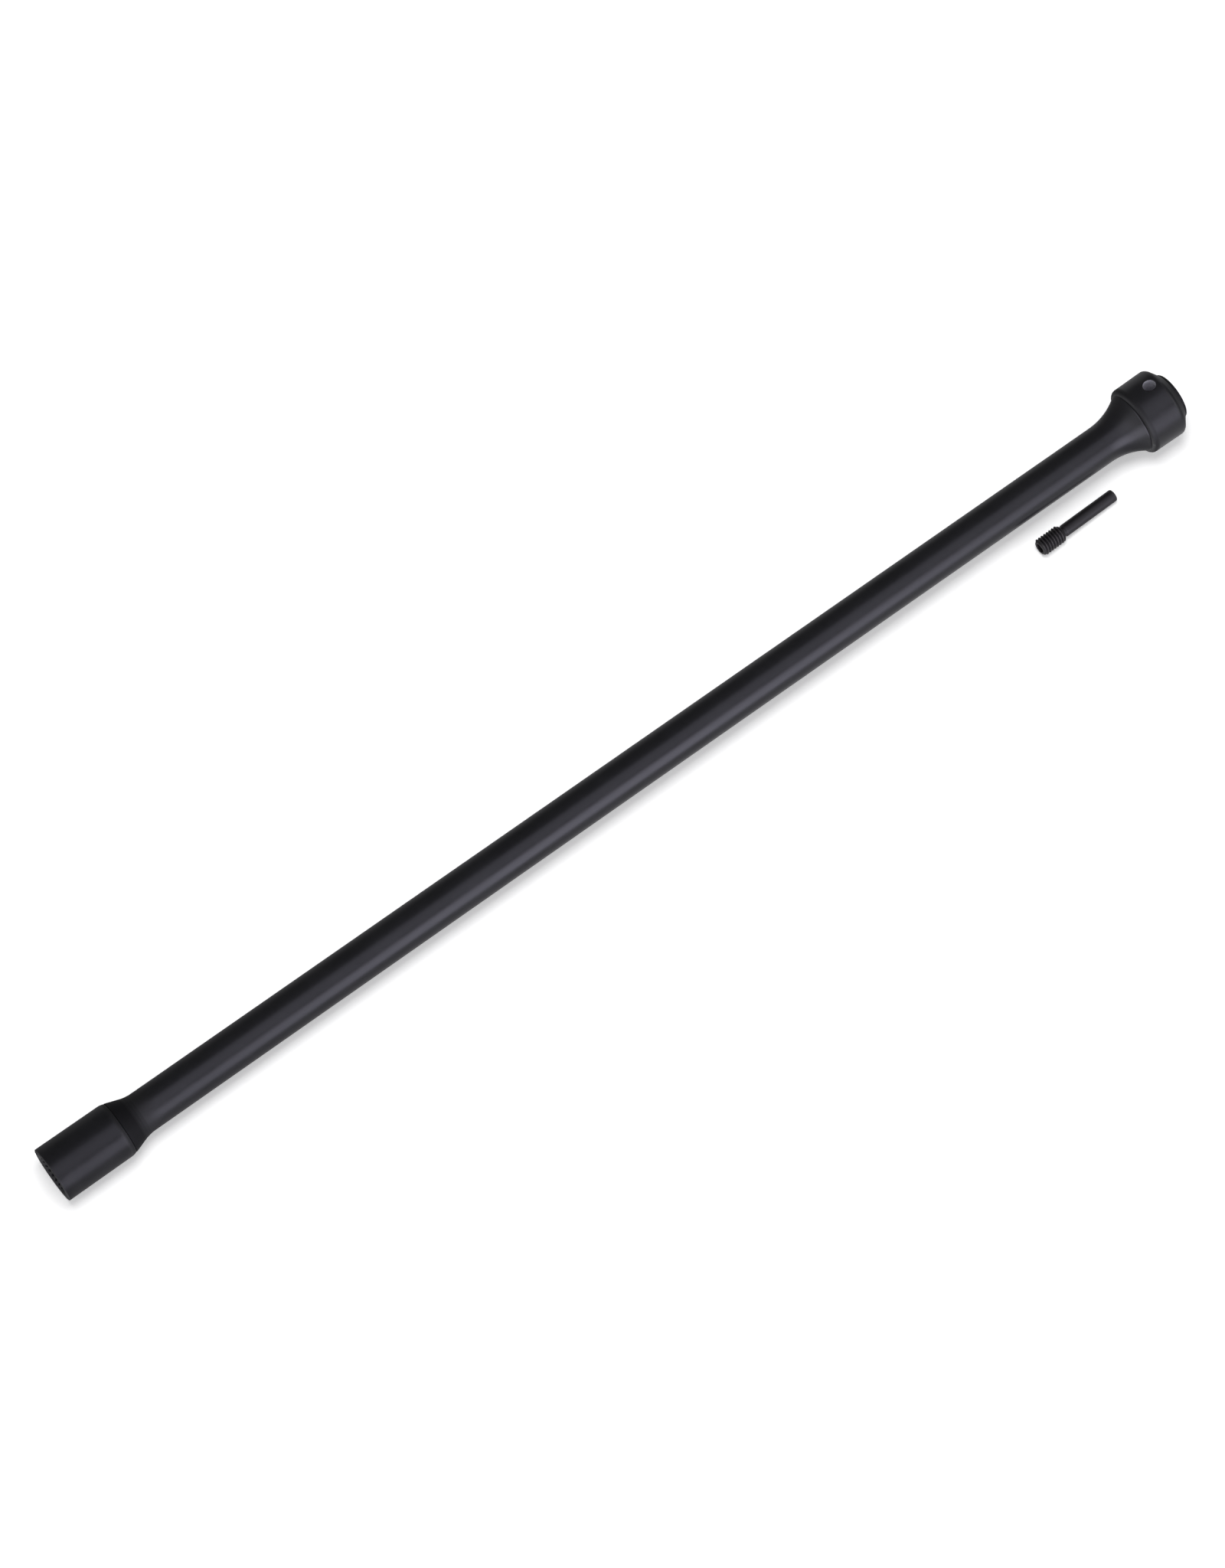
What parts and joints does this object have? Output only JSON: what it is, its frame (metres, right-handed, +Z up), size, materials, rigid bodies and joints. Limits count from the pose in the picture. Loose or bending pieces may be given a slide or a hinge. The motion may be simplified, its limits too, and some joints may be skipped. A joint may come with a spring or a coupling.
{
  "type": "drive shaft",
  "caption": "Long slender drive shaft with a splined socket at one end, a cross-drilled cup at the other, and a loose threaded screw pin beside it.",
  "frame": {"origin": "bottom centre of the box around the shaft and its loose pin, on the level of the cup's lowest point; the shaft's axis is at Y 1.77 mm, Z 7.92 mm", "axes": "+X along the shaft from the splined socket to the cup, +Z up, the loose pin lies on the -Y side of the bar"},
  "size_m": [0.289, 0.0194, 0.0158],
  "materials": {
    "shaft_steel": "satin black oxide over steel, smooth, with faintly rubbed edges",
    "pin_steel": "dull black oxide over steel"
  },
  "bodies": {
    "shaft": {"drive_bar": "shaft_steel", "spline_socket": "shaft_steel", "drive_cup": "shaft_steel", "cup_bush": "shaft_steel"},
    "pin": {"screw_pin": "pin_steel"}
  },
  "joints": [
    {"name": "screw_pin_lift", "type": "slide", "parent": "shaft", "child": "pin", "axis": [0, 0, 1], "range_m": [0, 0.03]}
  ]
}
